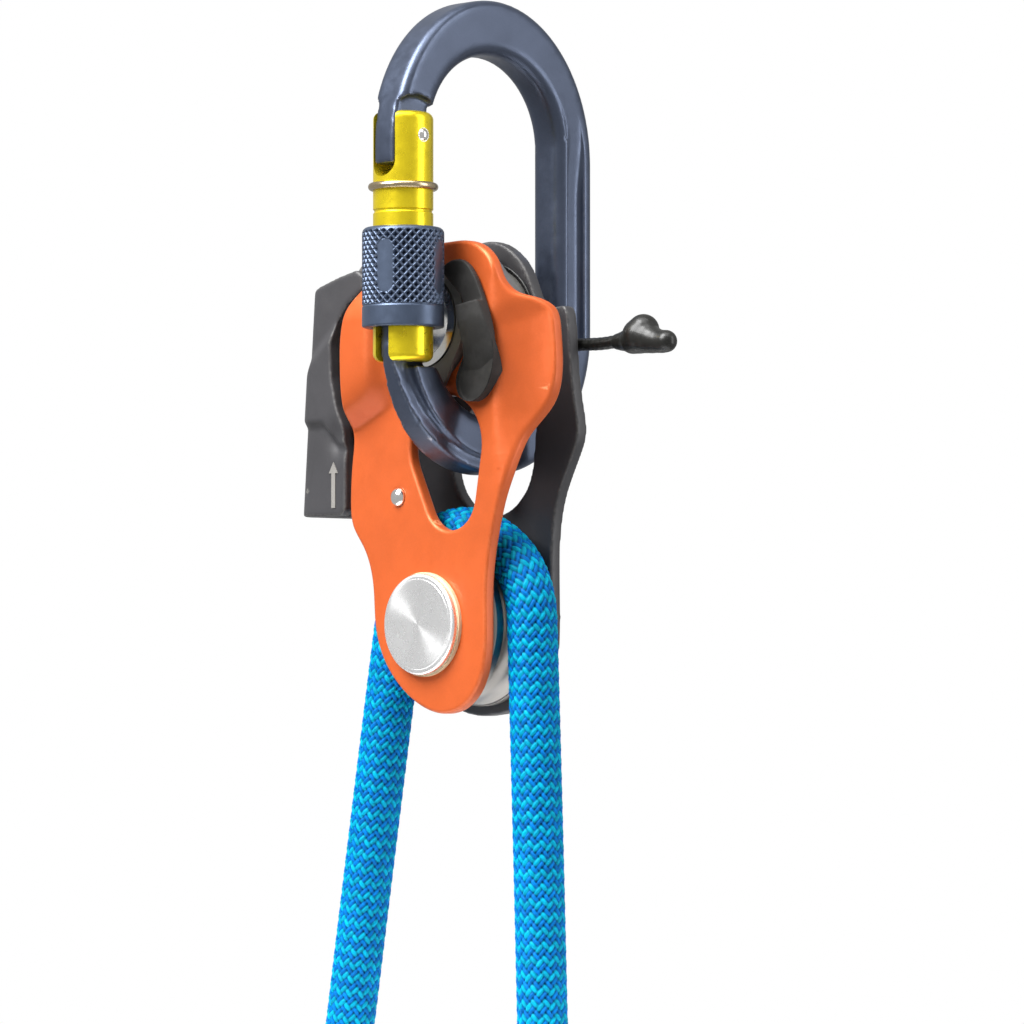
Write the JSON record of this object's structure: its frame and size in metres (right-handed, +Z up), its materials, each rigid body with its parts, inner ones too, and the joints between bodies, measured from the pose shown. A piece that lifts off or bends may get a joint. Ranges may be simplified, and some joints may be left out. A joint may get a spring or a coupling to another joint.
{
  "type": "rope clamp pulley with connector",
  "caption": "Compact toothed-cam rope clamp with a pulley between formed side plates, hanging from a screw-gate connector, with a braided rope over the pulley.",
  "frame": {"origin": "the seat at the top inside of the connector's bow, in the middle of the bar", "axes": "+X along the side plates towards their ears, +Y from the front plate to the rear plate, +Z up"},
  "size_m": [0.0933, 0.0607, 0.2358],
  "materials": {
    "anodised_slate": "satin anodised",
    "anodised_yellow": "satin anodised",
    "anodised_blue_knurl": "satin anodised, knurled",
    "anodised_orange": "satin anodised",
    "coated_dark_grey": "matt coated",
    "turned_steel": "turned",
    "polished_steel": "polished",
    "sheave_aluminium": "machined",
    "bronze": "turned",
    "washer_buff": "smooth",
    "cam_steel": "sand blasted",
    "hub_grey": "satin",
    "black_lever": "moulded, fine grain",
    "cord_black": "dipped",
    "rope_blue": "braided sheath",
    "shrink_black": "smooth"
  },
  "bodies": {
    "connector": {"connector_body": "anodised_slate"},
    "gate": {"gate_barrel": "anodised_yellow", "sleeve_stop_ring": "polished_steel", "gate_hinge_pin": "polished_steel", "gate_spring": "polished_steel", "gate_spring_plunger": "polished_steel"},
    "sleeve": {"lock_sleeve": "anodised_blue_knurl"},
    "device": {"rear_plate": "coated_dark_grey", "front_plate": "anodised_orange", "axle": "turned_steel", "axle_washer": "washer_buff", "axle_rear_head": "turned_steel", "thrust_washer_front": "turned_steel", "thrust_washer_rear": "turned_steel", "stop_pin": "polished_steel", "eyelet": "polished_steel", "cam_spring": "polished_steel", "rope": "rope_blue", "rope_end_left": "shrink_black", "rope_end_right": "shrink_black"},
    "sheave_wheel": {"sheave": "sheave_aluminium", "sheave_bushing": "bronze"},
    "cam_and_lever": {"cam": "cam_steel", "cam_hub": "hub_grey", "cam_lever": "black_lever"},
    "release_pull": {"release_cord": "cord_black", "cord_knot": "cord_black"}
  },
  "joints": [
    {"name": "gate_hinge", "type": "hinge", "parent": "connector", "child": "gate", "pos_m": [0, -0.0232, -0.0189], "axis": [1, 0, 0], "range_deg": [0, 1.2], "stiffness_Nm_per_rad": 0.02, "springref_deg": -28.65},
    {"name": "sleeve_travel", "type": "slide", "parent": "gate", "child": "sleeve", "axis": [0, 0, 1], "range_m": [0, 0.0074]},
    {"name": "device_swing", "type": "hinge", "parent": "connector", "child": "device", "pos_m": [0, 0, -0.0776], "axis": [0, 1, 0], "range_deg": [0, 12]},
    {"name": "sheave_spin", "type": "hinge", "parent": "device", "child": "sheave_wheel", "pos_m": [-0.006, 0, -0.1206], "axis": [0, 1, 0], "continuous": true},
    {"name": "cam_turn", "type": "hinge", "parent": "device", "child": "cam_and_lever", "pos_m": [-0.0055, 0, -0.0566], "axis": [0, -1, 0], "range_deg": [0, 20], "stiffness_Nm_per_rad": 0.05, "springref_deg": -22.92},
    {"name": "release_slide", "type": "slide", "parent": "device", "child": "release_pull", "axis": [1, 0, 0], "range_m": [0, 0.0025]}
  ],
  "couplings": [
    {"joint": "release_slide", "follows": "cam_turn", "m_per_rad": 0.005}
  ]
}
